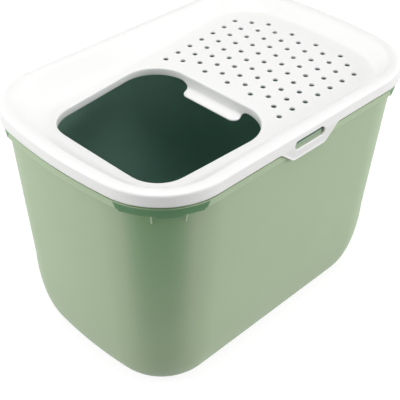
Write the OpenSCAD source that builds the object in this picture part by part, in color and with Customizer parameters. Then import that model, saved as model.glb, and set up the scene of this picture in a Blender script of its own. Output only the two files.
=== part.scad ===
// Top entry litter box: a deep drafted tub with a dished lift-off lid.
// The lid has an entry opening, a perforated tread and two slotted side tabs.
// Origin: centre of the floor. X runs along the length, the tread is at +X, Z is up.

/* [Overall] */
// Length over the lid's skirt
length = 585; // [560:1:620]
// Width over the lid's skirt
width = 390; // [375:1:410]
// Height from the floor to the crest of the lid's rim
height = 395; // [360:1:430]

/* [Plan] */
// Plan corner radius of the lid's skirt
lid_corner_r = 108.5; // [98:0.5:114]
// Plan corner radius of the tub's wall, taken at the skirt's line
tub_corner_r = 130; // [122:1:138]
// Plan radius of the bowed short ends
end_r = 740; // [620:10:1200]

/* [Tub] */
// Thickness of the tub's wall
tub_wall = 2.8; // [2.2:0.1:3.6]
// How far the top of the wall stands in from the skirt's line
wall_inset = 5.5; // [5:0.1:7]
// How much further in the wall leans by the start of the bottom curve
wall_lean = 17; // [10:0.5:22]
// Height of the bottom curve
base_rise = 131; // [90:1:150]
// How far in the bottom curve runs
base_run = 45; // [30:1:50]
// Thickness of the floor
floor_t = 3; // [2.5:0.1:4]
// How far the wall stands up inside the lid, above the ledge
upstand = 12; // [8:0.5:13]
// Height of the band below the lid's skirt
band_h = 14; // [10:0.5:16]
// Height of the hanging lips at the corners
lip_h = 17.6; // [16.5:0.1:22]
// Thickness of the band's flange and lips
flange_t = 2.4; // [2:0.1:3]
// Height of the corner ribs below the flange
rib_h = 31; // [24:1:34]
// Thickness of the corner ribs
rib_t = 2; // [1.5:0.1:3]

/* [Lid] */
// Thickness of the lid
lid_wall = 2.4; // [2:0.1:3]
// Height of the skirt, up to the rounding of the rim
skirt_h = 14.3; // [12:0.1:16]
// How far the skirt leans in over its height
skirt_lean = 2.4; // [1.8:0.1:3]
// Width of the rim band, from the skirt to the dish
rim_w = 21; // [18:0.5:24]
// How far the dished wall runs in from the rim
dish_run = 54; // [46:1:60]
// Depth of the dish below the rim
dish_depth = 35.3; // [30:0.1:38]
// Slope of the tread, rising towards +X
tread_slope = 2.06; // [1:0.01:3]
// Depth of the tread below the crest, at the middle of the lid
tread_drop = 31.2; // [28:0.1:34]

/* [Opening] */
// Half width of the opening at its narrow end
opening_half_narrow = 119; // [110:1:122]
// Half width of the opening at its wide end
opening_half_wide = 127; // [118:1:130]
// Corner radius at the narrow end
opening_r_narrow = 50; // [40:1:60]
// Corner radius at the wide end
opening_r_wide = 60; // [45:1:70]
// X of the opening's narrow edge
opening_x0 = -216; // [-222:1:-205]
// X of the opening's wide edge
opening_x1 = 14; // [5:1:20]
// Depth of the turned-down lip round the opening
opening_lip = 12.6; // [9:0.1:15]

/* [Ledge] */
// Half width of the ledge that hangs from the opening's wide edge
ledge_half = 57; // [45:1:62]
// How far the ledge hangs below the tread
ledge_drop = 24; // [20:0.5:28]
// How far the ledge reaches into the opening
ledge_reach = 15.3; // [12:0.1:20]
// Inner bend radius of the ledge
ledge_bend = 8; // [5:0.5:10]
// Corner radius at the ledge's tip
ledge_tip_r = 10; // [5:0.5:14]
// Radius of the fillets between the ledge's sides and the lip's foot
ledge_fillet = 6; // [3:0.5:8]

/* [Perforations] */
// Diameter of a perforation
hole_d = 7; // [5:0.5:9]
// Spacing of the perforations along a row
hole_pitch = 27.76; // [26:0.02:30]
// Spacing of the rows at the middle of the pattern
row_pitch = 23.96; // [22:0.02:24.5]
// Number of holes in a row
row_holes = 7; // [3:1:7]
// X of the middle of the pattern
pattern_x = 98; // [90:1:104]
// Radius that the columns follow, which also fans the rows
fan_r = 3000; // [2000:100:8000]

/* [Tabs] */
// Half width of a tab at its shoulders
tab_half_top = 60; // [54:1:64]
// Half width of a tab's straight lower edge
tab_half_low = 31; // [26:1:36]
// How far a tab hangs below the skirt
tab_h = 20; // [18:0.5:24]
// Corner radius at the foot of a tab
tab_r = 10; // [7:0.5:12]
// Radius of the hollow shoulders between a tab's sides and the skirt's foot
shoulder_r = 12; // [6:0.5:16]
// Length of the slot in a tab
slot_l = 62; // [50:1:66]
// Height of the slot in a tab
slot_h = 11; // [8:0.5:12]

/* [Fits] */
// Gap between parts that move on each other
gap = 0.35; // [0.3:0.05:0.5]

/* [Hidden] */
$fn = 96;
bow_facets = 720;             // the ends' bow has a large radius

tub_green = [0.64, 0.70, 0.58];
lid_white = [0.95, 0.95, 0.93];

half_l = length / 2;
half_w = width / 2;
crest_rise = 4.4;             // from the top of the skirt to the crest
crest_run = 8.6;              // from the skirt's top to the crest, inwards
rim_fall = 2.7;               // from the crest to where the dish starts
shoulder_fall = 0.8;          // from the crest to halfway there
hollow_slope = 1.2;           // fall of the rim's hollow from the crest to halfway down
skirt_top = height - crest_rise;
skirt_foot = skirt_top - skirt_h;
ledge_top = skirt_foot - gap; // the tub's ledge, which the skirt stands over
wall_top = ledge_top + upstand;
eps = 1;                      // overshoot of cuts
last_row = 5;                 // the rows of perforations run from minus this to plus this
drill = 30;                   // the perforations are cut this far above and below the tread
lap = 2;                      // overlap of the plan's corners past their tangent lines
past = 2.6;                   // overlap of its sides and ends past the same lines
arc_steps = 8;                // straight runs in a profile's curve
end_x = half_l - end_r;       // centre of the +X end's bow
end_root = 12;                // the bowed end's piece starts this far inside the corners
band_foot = ledge_top - band_h;
lip_foot = ledge_top - lip_h;
lip_from = 16;                // degrees round the corner, at a lip's foot
lip_to = 78;
lip_run = 8;                  // each end of a lip slants out by this much up to the band
lip_spread = 5;               // degrees that the slanted ends run past a lip's foot
lip_step = 0.1;               // a lip stands this far in from the band above it
pocket_spread = 5.5;          // degrees that the hollow behind a lip runs past its foot
rib_angles = [40, 64];        // degrees round the corner
rib_foot = ledge_top - flange_t - rib_h;
slot_rise = 2.75;             // the middle of a slot is this far above the skirt's foot
slot_z = skirt_foot + slot_rise;
ramp_foot = slot_h / 3;       // a catch block's ramp starts this far above the slot's foot
ramp_h = 4.2;
rib_root = 22;                // a rib starts this far in from the skirt's line
rib_foot_in = 14;             // and its foot ends this far in
pocket_root = 33;             // the hollow behind a lip runs this far in
lean_rate = skirt_lean / skirt_h;
skirt_wall = lid_wall * sqrt(1 + lean_rate * lean_rate);
band_inset = skirt_wall + gap; // the band stands this far in from the skirt's line

// ---- Plan shapes ----------------------------------------------------------
// A plan is a rectangle with bowed ends. It is named by c, the radius of its corners at
// the skirt's line, and every inset plan keeps the same corner centres.

function corner_y(c) = half_w - c;
function corner_angle(c) = asin(corner_y(c) / (end_r - c));
function corner_x(c) = end_x + (end_r - c) * cos(corner_angle(c));

function side_profile(reach, edge) = [for (p = edge) [reach - p[0], p[1]]];

function pie_profile(reach, edge) = concat(
    [[0, edge[0][1]]],
    side_profile(reach, edge),
    [[0, edge[len(edge) - 1][1]]]
);

function end_profile(inner, edge) = concat(
    [[inner, edge[0][1]]],
    side_profile(end_r, edge),
    [[inner, edge[len(edge) - 1][1]]]
);

function slab_profile(edge) = concat(
    side_profile(half_w, edge),
    [for (k = [len(edge) - 1 : -1 : 0]) [edge[k][0] - half_w, edge[k][1]]]
);

// A solid whose outside is the line edge, a list of [inset, z] from the top down,
// carried round the plan. The flat sides and the bowed ends run a little past the corners'
// tangent lines, so that each overlaps its neighbours.
module plan_solid(edge, c) {
    cx = corner_x(c);
    a = corner_angle(c);
    turn = asin(lap / c);
    end_turn = a + asin(past / end_r);
    translate([-cx - past, 0, 0])
        rotate([90, 0, 90])
            linear_extrude(2 * (cx + past))
                polygon(slab_profile(edge));
    for (sx = [0, 1]) {
        mirror([sx, 0, 0])
            translate([end_x, 0, 0])
                rotate_extrude(start = -end_turn, angle = 2 * end_turn, $fn = bow_facets)
                    polygon(end_profile(cx - end_x - end_root, edge));
    }
    at_corners(c)
        rotate_extrude(start = a + turn, angle = 90 - a - 2 * turn)
            polygon(pie_profile(c, edge));
}

// Places a child, made about a corner centre, at all four corners.
module at_corners(c) {
    for (sx = [0, 1]) {
        for (sy = [0, 1]) {
            mirror([sx, 0, 0])
                mirror([0, sy, 0])
                    translate([corner_x(c), corner_y(c), 0])
                        children();
        }
    }
}

// Angle of the outward normal of the line that touches two circles [x, y, r],
// taken in counter-clockwise order.
function touch_angle(p, q) =
    atan2(q[1] - p[1], q[0] - p[0]) - acos((p[2] - q[2]) / norm([q[0] - p[0], q[1] - p[1]]));

function rim_point(p, angle) = [p[0] + p[2] * cos(angle), p[1] + p[2] * sin(angle)];

// The outline that a band stretched round the circles would take.
module banded(circles) {
    n = len(circles);
    polygon([
        for (k = [0 : n - 1])
            let (p = circles[k], q = circles[(k + 1) % n], t = touch_angle(p, q))
            each [rim_point(p, t), rim_point(q, t)]
    ]);
    for (p = circles) {
        translate([p[0], p[1]])
            circle(r = p[2]);
    }
}

// ---- Tub ------------------------------------------------------------------

base_inset = wall_inset + wall_lean + base_run;

// The wall from its top to the floor, thickness t in from the outside and floor_z up.
function wall_line(top, t, floor_z) = concat(
    [[wall_inset + t, top], [wall_inset + t, band_foot - eps]],
    [for (k = [0 : arc_steps])
        let (a = 90 * k / arc_steps)
        [base_inset - (base_run - t) * cos(a), base_rise - (base_rise - floor_z) * sin(a)]]
);

module tub_skin() {
    plan_solid(wall_line(wall_top, 0, 0), tub_corner_r);
}

module tub_cavity() {
    plan_solid(wall_line(wall_top + eps, tub_wall, floor_t), tub_corner_r);
}

// The band under the skirt, with a hollow behind it at each corner.
module band() {
    difference() {
        plan_solid([[band_inset, ledge_top], [band_inset, band_foot]], lid_corner_r);
        at_corners(lid_corner_r)
            corner_ring(
                lid_corner_r - pocket_root,
                lid_corner_r - band_inset - flange_t,
                band_foot - eps,
                ledge_top - flange_t,
                lip_from - pocket_spread,
                lip_to + pocket_spread
            );
    }
}

// Part of a ring round a corner centre.
module corner_ring(r_in, r_out, z_low, z_high, from, to) {
    rotate_extrude(start = from, angle = to - from)
        translate([r_in, z_low])
            square([r_out - r_in, z_high - z_low]);
}

// The lip that hangs at a corner. Its ends are cut on a slant.
module corner_lip() {
    r_out = lid_corner_r - band_inset - lip_step;
    difference() {
        corner_ring(
            r_out - flange_t, r_out, lip_foot, ledge_top - flange_t / 2,
            lip_from - lip_spread, lip_to + lip_spread
        );
        lip_end(lip_from, 1, r_out);
        lip_end(lip_to, -1, r_out);
    }
}

// Cuts one end of a lip on a slant that starts at its foot.
module lip_end(angle, side, r) {
    slope = lip_run / (band_foot - lip_foot);
    far = -side * lid_corner_r / 2;
    rotate([0, 0, angle])
        translate([r / 2, 0, 0])
            rotate([90, 0, 90])
                linear_extrude(r)
                    polygon([
                        [side * slope * eps, lip_foot - eps],
                        [-side * slope * (ledge_top - lip_foot), ledge_top],
                        [far, ledge_top],
                        [far, lip_foot - eps]
                    ]);
}

// A thin rib under the flange, between a corner lip and the wall.
module corner_rib(angle) {
    r_lip = lid_corner_r - band_inset - flange_t / 2;
    r_wall = lid_corner_r - rib_root;
    r_foot = lid_corner_r - rib_foot_in;
    rotate([0, 0, angle])
        translate([0, rib_t / 2, 0])
            rotate([90, 0, 0])
                linear_extrude(rib_t)
                    polygon([
                        [r_wall, ledge_top - flange_t / 2],
                        [r_lip, ledge_top - flange_t / 2],
                        [r_lip, lip_foot + flange_t],
                        [r_foot, rib_foot],
                        [r_wall, rib_foot]
                    ]);
}

// The ramped block that fills a tab's slot from behind.
module catch_block() {
    reach = slot_l / 2 - 2 * gap;
    face = -half_w + band_inset;
    back = -half_w + wall_inset + tub_wall / 2;
    slot_foot = slot_z - slot_h / 2;
    translate([-reach, 0, 0])
        rotate([90, 0, 90])
            linear_extrude(2 * reach)
                polygon([
                    [back, slot_foot - tub_wall],
                    [face, slot_foot - tub_wall],
                    [face, slot_foot + ramp_foot],
                    [back, slot_foot + ramp_foot + ramp_h]
                ]);
}

module tub() {
    color(tub_green)
        difference() {
            union() {
                tub_skin();
                band();
                at_corners(lid_corner_r) {
                    corner_lip();
                    for (angle = rib_angles) {
                        corner_rib(angle);
                    }
                }
                for (sy = [0, 1]) {
                    mirror([0, sy, 0])
                        catch_block();
                }
            }
            tub_cavity();
        }
}

// ---- Lid ------------------------------------------------------------------

rim_z = height - rim_fall;            // height of the rim where the dish starts
tread_z = height - tread_drop;        // height of the tread at x = 0
crest_inset = skirt_lean + crest_run;
shoulder_run = (rim_w - crest_inset) / 2;

// The rim's outside, from the crest round and down the skirt.
function rim_line() = concat(
    [for (k = [arc_steps / 2 : -1 : 0])
        let (a = 180 * k / arc_steps)
        [crest_inset - crest_run * cos(a), skirt_top + crest_rise * sin(a)]],
    [[0, skirt_foot]]
);

// The hollow under the rim, up to the crest.
function rim_hollow_line() = [
    [crest_inset, height - lid_wall],
    [crest_inset - crest_run / 2, height - lid_wall - hollow_slope],
    [skirt_lean + skirt_wall, skirt_top],
    [skirt_wall - lean_rate * eps, skirt_foot - eps]
];

// A point of the dished wall at u, from 0 at the rim to 1 at the bottom, moved t outwards.
function dish_point(u, t) =
    let (slope = atan2(2 * dish_depth * (1 - u), dish_run))
    [rim_w + dish_run * u - t * sin(slope), rim_z - dish_depth * u * (2 - u) - t * cos(slope)];

function dish_line(t) = [for (k = [0 : arc_steps]) dish_point(k / arc_steps, t)];

// Everything above a plane that slopes with the tread, drop below it.
module above_tread(drop) {
    translate([0, 0, tread_z - drop])
        rotate([0, -tread_slope, 0])
            translate([-length, -width, 0])
                cube([2 * length, 2 * width, height]);
}

// What the dish hollows out, from the crest of the rim inwards.
module dish_void() {
    plan_end = [crest_inset - shoulder_run, height + shoulder_fall];
    shoulder = [crest_inset + shoulder_run, height - shoulder_fall];
    intersection() {
        plan_solid(concat([plan_end, shoulder], dish_line(0)), lid_corner_r);
        above_tread(0);
    }
}

dish_lap = 0.5;                       // the dish reaches this far below the rim's hollow

// The same, one wall thicker.
module dish_body() {
    crest = [[crest_inset, height - eps], [crest_inset, height - lid_wall - dish_lap]];
    intersection() {
        plan_solid(concat(crest, dish_line(lid_wall)), lid_corner_r);
        above_tread(lid_wall);
    }
}

function opening_circles(grow) = [
    [opening_x0 + opening_r_narrow, -opening_half_narrow + opening_r_narrow, opening_r_narrow + grow],
    [opening_x1 - opening_r_wide, -opening_half_wide + opening_r_wide, opening_r_wide + grow],
    [opening_x1 - opening_r_wide, opening_half_wide - opening_r_wide, opening_r_wide + grow],
    [opening_x0 + opening_r_narrow, opening_half_narrow - opening_r_narrow, opening_r_narrow + grow]
];

// The turned-down lip, still solid inside.
module opening_collar() {
    intersection() {
        linear_extrude(height - eps)
            banded(opening_circles(lid_wall));
        above_tread(opening_lip);
    }
}

// The hollow corner between a line along +x and one along -y, both from the origin.
module fillet(r) {
    difference() {
        translate([-eps, -r])
            square([r + eps, r + eps]);
        translate([r, -r])
            circle(r = r);
    }
}

ledge_low = tread_z - ledge_drop;     // top of the ledge's level part
ledge_bend_z = ledge_low + ledge_bend;

// The upright part of the ledge, with fillets where it leaves the opening's lip.
module ledge_upright() {
    top = tread_z - lid_wall / 2;
    lip_z = tread_z - opening_lip + opening_x1 * tan(tread_slope);
    translate([opening_x1, 0, 0])
        rotate([90, 0, 90])
            linear_extrude(lid_wall) {
                translate([-ledge_half, ledge_bend_z])
                    square([2 * ledge_half, top - ledge_bend_z]);
                for (sy = [0, 1]) {
                    mirror([sy, 0])
                        translate([ledge_half, lip_z])
                            fillet(ledge_fillet);
                }
            }
}

// The bend and the level part, drawn in x and z.
module ledge_section() {
    tip = opening_x1 - ledge_reach;
    bend_x = opening_x1 - ledge_bend;
    r_out = ledge_bend + lid_wall;
    translate([tip, ledge_low - lid_wall])
        square([bend_x - tip, lid_wall]);
    difference() {
        intersection() {
            translate([bend_x, ledge_bend_z])
                circle(r = r_out);
            translate([bend_x, ledge_low - lid_wall])
                square([r_out, r_out]);
        }
        translate([bend_x, ledge_bend_z])
            circle(r = ledge_bend);
    }
}

// The ledge hangs from the wide edge of the opening and bends into it.
module ledge() {
    tip_x = opening_x1 - ledge_reach + ledge_tip_r;
    tip_y = ledge_half - ledge_tip_r;
    back = opening_x1 + 2 * ledge_tip_r;
    ledge_upright();
    intersection() {
        translate([0, ledge_half, 0])
            rotate([90, 0, 0])
                linear_extrude(2 * ledge_half)
                    ledge_section();
        linear_extrude(height)
            banded([
                [tip_x, -tip_y, ledge_tip_r],
                [back, -tip_y, ledge_tip_r],
                [back, tip_y, ledge_tip_r],
                [tip_x, tip_y, ledge_tip_r]
            ]);
    }
}

// Staggered rows of holes, on lines that fan out from a far centre. shift is how many half
// steps a row's middle lies from the pattern's middle. It is less in the two outer rows.
module perforations() {
    for (row = [-last_row : last_row]) {
        shift = abs(row) == last_row ? 1 : (row % 2 == 0 ? 2 : 3);
        start = shift - (row_holes - 1);
        angle = row * row_pitch / fan_r * 180 / PI;
        for (k = [0 : row_holes - 1]) {
            r = fan_r + (start + 2 * k) * hole_pitch / 2;
            translate([pattern_x - fan_r + r * cos(angle), r * sin(angle), tread_z - drill])
                cylinder(d = hole_d, h = 2 * drill);
        }
    }
}

tab_top = skirt_top - lid_wall;       // top edge of a tab, where it flexes
tab_side = tab_half_top + shoulder_r; // half width of the piece of skirt that a tab carries
tab_edge = 0.8;                       // a tab's foot is chamfered by this, and its lean starts
                                      // this far above the skirt's foot

module tab_notch() {
    reach = tab_side + gap;
    translate([-reach, -half_w - eps, skirt_foot - eps])
        cube([2 * reach, skirt_lean + skirt_wall + eps + gap, tab_top + gap - skirt_foot + eps]);
}

module lid() {
    color(lid_white) {
        difference() {
            union() {
                difference() {
                    plan_solid(rim_line(), lid_corner_r);
                    plan_solid(rim_hollow_line(), lid_corner_r);
                }
                dish_body();
                opening_collar();
            }
            dish_void();
            linear_extrude(height + eps)
                banded(opening_circles(0));
            perforations();
            for (sy = [0, 1]) {
                mirror([0, sy, 0])
                    tab_notch();
            }
        }
        ledge();
    }
}

// ---- Tabs -----------------------------------------------------------------

tab_foot = skirt_foot - tab_h;
tab_rise = tab_h - tab_r;

// Angle from level of a tab's side, which touches the round corner at the foot.
tab_lean = atan2(tab_rise, tab_half_top - tab_half_low)
    + asin(tab_r / norm([tab_half_top - tab_half_low, tab_rise]));

// The +X half of a tab's outline in x and z, from the top to the foot. It runs through the
// centre of the hollow shoulder, and straight across the round corner at the foot.
function tab_outline() =
    let (run = shoulder_r * tan(tab_lean / 2))
    [
        [tab_side, tab_top],
        [tab_side, skirt_foot],
        [tab_half_top + run, skirt_foot],
        [tab_half_top + run, skirt_foot - shoulder_r],
        [tab_half_top - run * cos(tab_lean), skirt_foot - run * sin(tab_lean)],
        [tab_half_low + tab_r * sin(tab_lean), tab_foot + tab_r * (1 - cos(tab_lean))],
        [tab_half_low, tab_foot]
    ];

// A tab's face, drawn in x and z and carried along its normal.
module tab_prism() {
    half = tab_outline();
    shoulder = half[3];
    difference() {
        union() {
            linear_extrude(width)
                polygon(concat(half, [for (k = [len(half) - 1 : -1 : 0]) [-half[k][0], half[k][1]]]));
            for (sx = [-1, 1]) {
                translate([sx * tab_half_low, tab_foot + tab_r, 0])
                    cylinder(r = tab_r, h = width);
            }
        }
        for (sx = [-1, 1]) {
            translate([sx * shoulder[0], shoulder[1], -eps])
                cylinder(r = shoulder_r, h = width + 2 * eps);
        }
    }
}

module slot_face() {
    end = (slot_l - slot_h) / 2;
    translate([0, slot_z])
        banded([[-end, 0, slot_h / 2], [end, 0, slot_h / 2]]);
}

// The front tab, which carries on the skirt's lean above the skirt's foot.
module tab() {
    top_lean = lean_rate * (tab_top - skirt_foot);
    bend_z = skirt_foot + tab_edge;
    difference() {
        intersection() {
            translate([-tab_side, 0, 0])
                rotate([90, 0, 90])
                    linear_extrude(2 * tab_side)
                        polygon([
                            [-half_w, tab_foot + tab_edge],
                            [-half_w + tab_edge, tab_foot],
                            [-half_w + skirt_wall, tab_foot],
                            [-half_w + skirt_wall, bend_z],
                            [-half_w + skirt_wall + top_lean, tab_top],
                            [-half_w + top_lean, tab_top],
                            [-half_w, bend_z]
                        ]);
            rotate([90, 0, 0])
                tab_prism();
        }
        rotate([90, 0, 0])
            linear_extrude(width)
                slot_face();
    }
}

module front_tab() {
    color(lid_white)
        tab();
}

module rear_tab() {
    color(lid_white)
        mirror([0, 1, 0])
            tab();
}

tub();
lid();
front_tab();
rear_tab();
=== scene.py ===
"""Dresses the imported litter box: smooth shells, moulded plastic and a plain studio."""

import math

import bmesh
import bpy
import numpy as np
from mathutils import Matrix, Vector


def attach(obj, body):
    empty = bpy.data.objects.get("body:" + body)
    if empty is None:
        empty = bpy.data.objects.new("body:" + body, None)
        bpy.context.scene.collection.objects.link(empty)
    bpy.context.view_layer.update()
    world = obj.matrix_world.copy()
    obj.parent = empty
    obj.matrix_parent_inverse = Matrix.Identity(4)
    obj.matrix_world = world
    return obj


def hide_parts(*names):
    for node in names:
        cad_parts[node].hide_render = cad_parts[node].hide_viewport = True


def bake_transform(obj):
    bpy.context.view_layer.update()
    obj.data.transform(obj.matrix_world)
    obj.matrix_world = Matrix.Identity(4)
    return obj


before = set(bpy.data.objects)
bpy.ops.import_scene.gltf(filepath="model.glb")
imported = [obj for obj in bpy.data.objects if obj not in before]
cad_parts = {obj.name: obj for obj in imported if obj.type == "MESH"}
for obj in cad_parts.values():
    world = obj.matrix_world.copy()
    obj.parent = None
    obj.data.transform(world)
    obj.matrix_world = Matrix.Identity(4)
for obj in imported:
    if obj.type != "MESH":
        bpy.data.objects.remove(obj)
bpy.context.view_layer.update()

MM = 0.001                # metres in a millimetre

# ---- Sizes, in millimetres -------------------------------------------------
# An inset is a distance in from the outline of the lid's skirt, and heights are above the floor.

# The plan: straight sides, bowed ends and rounded corners.
HALF_L = 292.5            # half length over the lid's skirt
HALF_W = 195.0            # half width over the lid's skirt
END_R = 740.0             # radius of the bowed ends
END_X = HALF_L - END_R    # middle of the +X end's bow
LID_C = 108.5             # corner radius of the lid's skirt
TUB_C = 130.0             # corner radius of the tub's wall

# The lid's skirt, rim and dish.
LID_T = 2.4               # thickness of the moulding
SKIRT_FOOT = 376.3
SKIRT_TOP = 390.6
SKIRT_LEAN = 2.4          # how far the skirt leans in over its height
SKIRT_ROWS = (380.0, 383.0, 386.0)      # heights of the points between its foot and the seam
SEAM_Z = 389.0            # a tab's skin takes over from the shell below this
CREST = 395.0             # height of the rim's crest
CREST_IN = 11.0           # inset of the crest
RIM_IN = 21.0             # inset of the rim's inner edge
RIM_Z = CREST - 2.7       # height of that edge
RIM_SINK = 0.42           # how much that edge is rounded off
DISH_RUN = 54.0
DISH_DEPTH = 35.3
TREAD_Z = 363.8           # height of the tread at x = 0
SLOPE = math.tan(math.radians(2.06))
SOFT = 2.2                # how softly the tread meets the dished wall
DISH_END = 51.0           # inset at which the rows turn from the outline to the opening

# The entry opening: its corner circles (x, y, radius) on the +Y side, its middle, and its lip.
OPEN = [(-166.0, 69.0, 50.0), (-46.0, 67.0, 60.0)]
OPEN_MID = (-100.0, 0.0)
LIP_DROP = 12.6           # the lip's foot hangs this far below the tread
LIP_ROLL = 2.6            # radius at which the tread rolls over into the lip
LIP_ROLL_RUN = 3.2        # the tread's last row lies this far out from the edge

# The ledge in the opening.
LEDGE_X = 14.0            # face of the opening's wide edge
LEDGE_HALF = 56.0         # half width
LEDGE_DROP = 24.0
LEDGE_REACH = 15.3
LEDGE_BEND = 9.2          # radius of the bend's middle line
LEDGE_TIP_R = 12.0        # corners of its tip
LEDGE_FILLET = 11.0       # where its sides meet the lip

# The perforations.
HOLE_R = 4.4              # at the tread
HOLE_DRAFT = 0.4          # wider by this much at a cutter's top, and narrower as much at its foot
HOLE_DEPTH = 14.0         # height of a cutter
FAN_R = 3000.0            # the rows fan out round a middle this far from the tread's
FAN_X = 98.0              # middle of the tread
ROW_STEP = 23.96          # from row to row
HOLE_STEP = 27.76         # from hole to hole in a row

# The side tabs.
TAB_SIDE = 72.0           # half width of the piece of skirt that bends
TAB_FOOT = 355.0
TAB_R = 14.0              # corners of the foot
TAB_LOW = 29.0            # half length of the foot's straight part
TAB_TOP = 60.0            # half length at the skirt's foot
SHOULDER_R = 16.0
TAB_BEAD = 0.85           # how far the bead round the tab's foot stands out
TAB_OUT = 0.1             # inset of a tab's face
SLOT_L = 63.4
SLOT_H = 13.4
SLOT_Z = 376.8            # height of the slot's middle
SLOT_CHAMFER = 1.0
CUT_FROM, CUT_TO = 188.0, 200.0         # y of the slot cutter's ends

# The tub's wall.
WALL_T = 2.8
WALL_IN = 5.5             # inset of its outside at the top
WALL_TOP = 387.9
WALL_START = 361.0        # it is upright above this, and leans in below it
WALL_LEAN = 17.0          # how far it has leaned in where the curved base starts
BRIM_R = 1.2              # height of the rounding along its top
BASE_RISE = 131.0         # height and width of the curved base
BASE_RUN = 45.0
FLOOR_T = 3.0
INNER_FLOOR_SHADE_Z = 40.0      # below this the inside takes a deeper painted shade

# The band under the skirt, its flange, and the lip that hangs from it at each corner.
LEDGE = 375.95            # the tub's ledge, which carries the lid
BAND_IN = 2.78
BAND_FOOT = 361.95
BAND_LEAN = 0.6           # how far the band's face leans in, from its foot to the flange
BAND_T = 2.4
FLANGE_TOP = 372.1
FLANGE_LOW = 370.5
GROOVE_IN = 4.9           # back of the gap between the skirt's foot and the flange
LIP_FOOT = 357.8
LIP_RECESS = 1.3
LIP_LEAN = 1.3            # how far a lip's foot stands in from its top
LIP_FROM, LIP_TO = 16.0, 78.0     # degrees round the corner, at a lip's foot
LIP_SLANT = 5.2           # degrees that its ends slant out by, up to the flange
LIP_EASE = 14.0           # degrees over which its ends grow shallow
POCKET = 5.5              # degrees that the hollow behind a lip reaches past its foot

# The ribs under each lip, and the low bar between them. Radii are from the corner's middle.
RIB_ANGLES = (39.2, 65.8)
RIB_HALF_T = 0.85
RIB_FOOT, RIB_MID, RIB_TOP = 340.4, 357.0, 374.6
RIB_FACE = [(101.6, RIB_TOP), (101.6, 359.0), (97.4, 346.5), (95.2, RIB_FOOT)]   # radius and height
BAR_GAP = 3.4             # degrees from a rib to the bar's end
BAR = [(100.9, 362.0), (102.1, 362.0), (102.1, 355.4), (100.9, 355.4)]           # radius and height

# The ramped block behind a tab's slot: y and height round its section.
CATCH_HALF = 30.9
CATCH = [
    (189.0, 366.6), (191.1, 366.6), (191.1, 377.2), (190.4, 378.4), (189.8, 384.6), (187.5, 384.6), (187.5, 366.6),
]
CATCH_SHADE_Z = 377.5     # the block is painted darker above this, as shadow under the slot's upper edge

# x of the points along a straight side: close together where a tab is, and one of them at TAB_SIDE.
SIDE_X = np.concatenate([np.arange(176, 84, -8.0), np.arange(84, -1, -2.0)])


# ---- Mesh helpers ----------------------------------------------------------


def smoothstep(t):
    t = np.clip(t, 0.0, 1.0)
    return t * t * (3 - 2 * t)


def add_object(name, data):
    obj = bpy.data.objects.new(name, data)
    bpy.context.scene.collection.objects.link(obj)
    return obj


def mesh_object(name, verts, faces, material, sharp):
    """A mesh from points in millimetres, smooth except where its faces meet at more than sharp degrees."""
    data = bpy.data.meshes.new(name)
    data.from_pydata((np.asarray(verts, float) * MM).tolist(), [], faces)
    data.validate()
    data.materials.append(material)
    obj = add_object(name, data)
    tidy(obj, sharp)
    return obj


def tidy(obj, sharp):
    """Merges doubled points, turns the faces outwards and sets which edges are sharp."""
    bm = bmesh.new()
    bm.from_mesh(obj.data)
    bmesh.ops.remove_doubles(bm, verts=bm.verts, dist=2e-6)
    bmesh.ops.recalc_face_normals(bm, faces=bm.faces)
    limit = math.radians(sharp)
    for face in bm.faces:
        face.smooth = True
    for edge in bm.edges:
        edge.smooth = not (len(edge.link_faces) == 2 and edge.calc_face_angle(0) > limit)
    bm.to_mesh(obj.data)
    bm.free()
    obj.data.update()


def face_material(obj, material, test):
    """Gives the faces for which test(centre in millimetres, normal) holds a material of their own."""
    obj.data.materials.append(material)
    index = len(obj.data.materials) - 1
    for poly in obj.data.polygons:
        if test(poly.center / MM, poly.normal):
            poly.material_index = index


def grid_faces(rows, cols, close_rows=False, close_cols=True, keep=None):
    """Faces between rows of cols points. keep(row, col) says which of them stay."""
    faces = []
    for r in range(rows if close_rows else rows - 1):
        r2 = (r + 1) % rows
        for c in range(cols if close_cols else cols - 1):
            c2 = (c + 1) % cols
            if keep is None or keep(r, c):
                faces.append((r * cols + c, r * cols + c2, r2 * cols + c2, r2 * cols + c))
    return faces


def cutter(name, bm):
    """A mesh made in metres, for cut to take away."""
    data = bpy.data.meshes.new(name)
    bm.to_mesh(data)
    bm.free()
    return add_object(name, data)


def cut(obj, tool, sharp):
    """Takes the cutter away from obj, for good."""
    mod = obj.modifiers.new("cut", "BOOLEAN")
    mod.operation = "DIFFERENCE"
    mod.solver = "EXACT"
    mod.object = tool
    graph = bpy.context.evaluated_depsgraph_get()
    done = bpy.data.meshes.new_from_object(obj.evaluated_get(graph))
    obj.modifiers.clear()
    used = [obj.data, tool.data]
    obj.data = done
    bpy.data.objects.remove(tool)
    for data in used:
        bpy.data.meshes.remove(data)
    tidy(obj, sharp)


# ---- Plan curves -----------------------------------------------------------


def corner_circle(c):
    """The middle of the +X +Y corner of radius c, and the angle at which it takes over from the bowed end."""
    angle = math.asin((HALF_W - c) / (END_R - c))
    return END_X + (END_R - c) * math.cos(angle), HALF_W - c, angle


CORNER_X, CORNER_Y, CORNER_A = corner_circle(LID_C)


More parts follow.
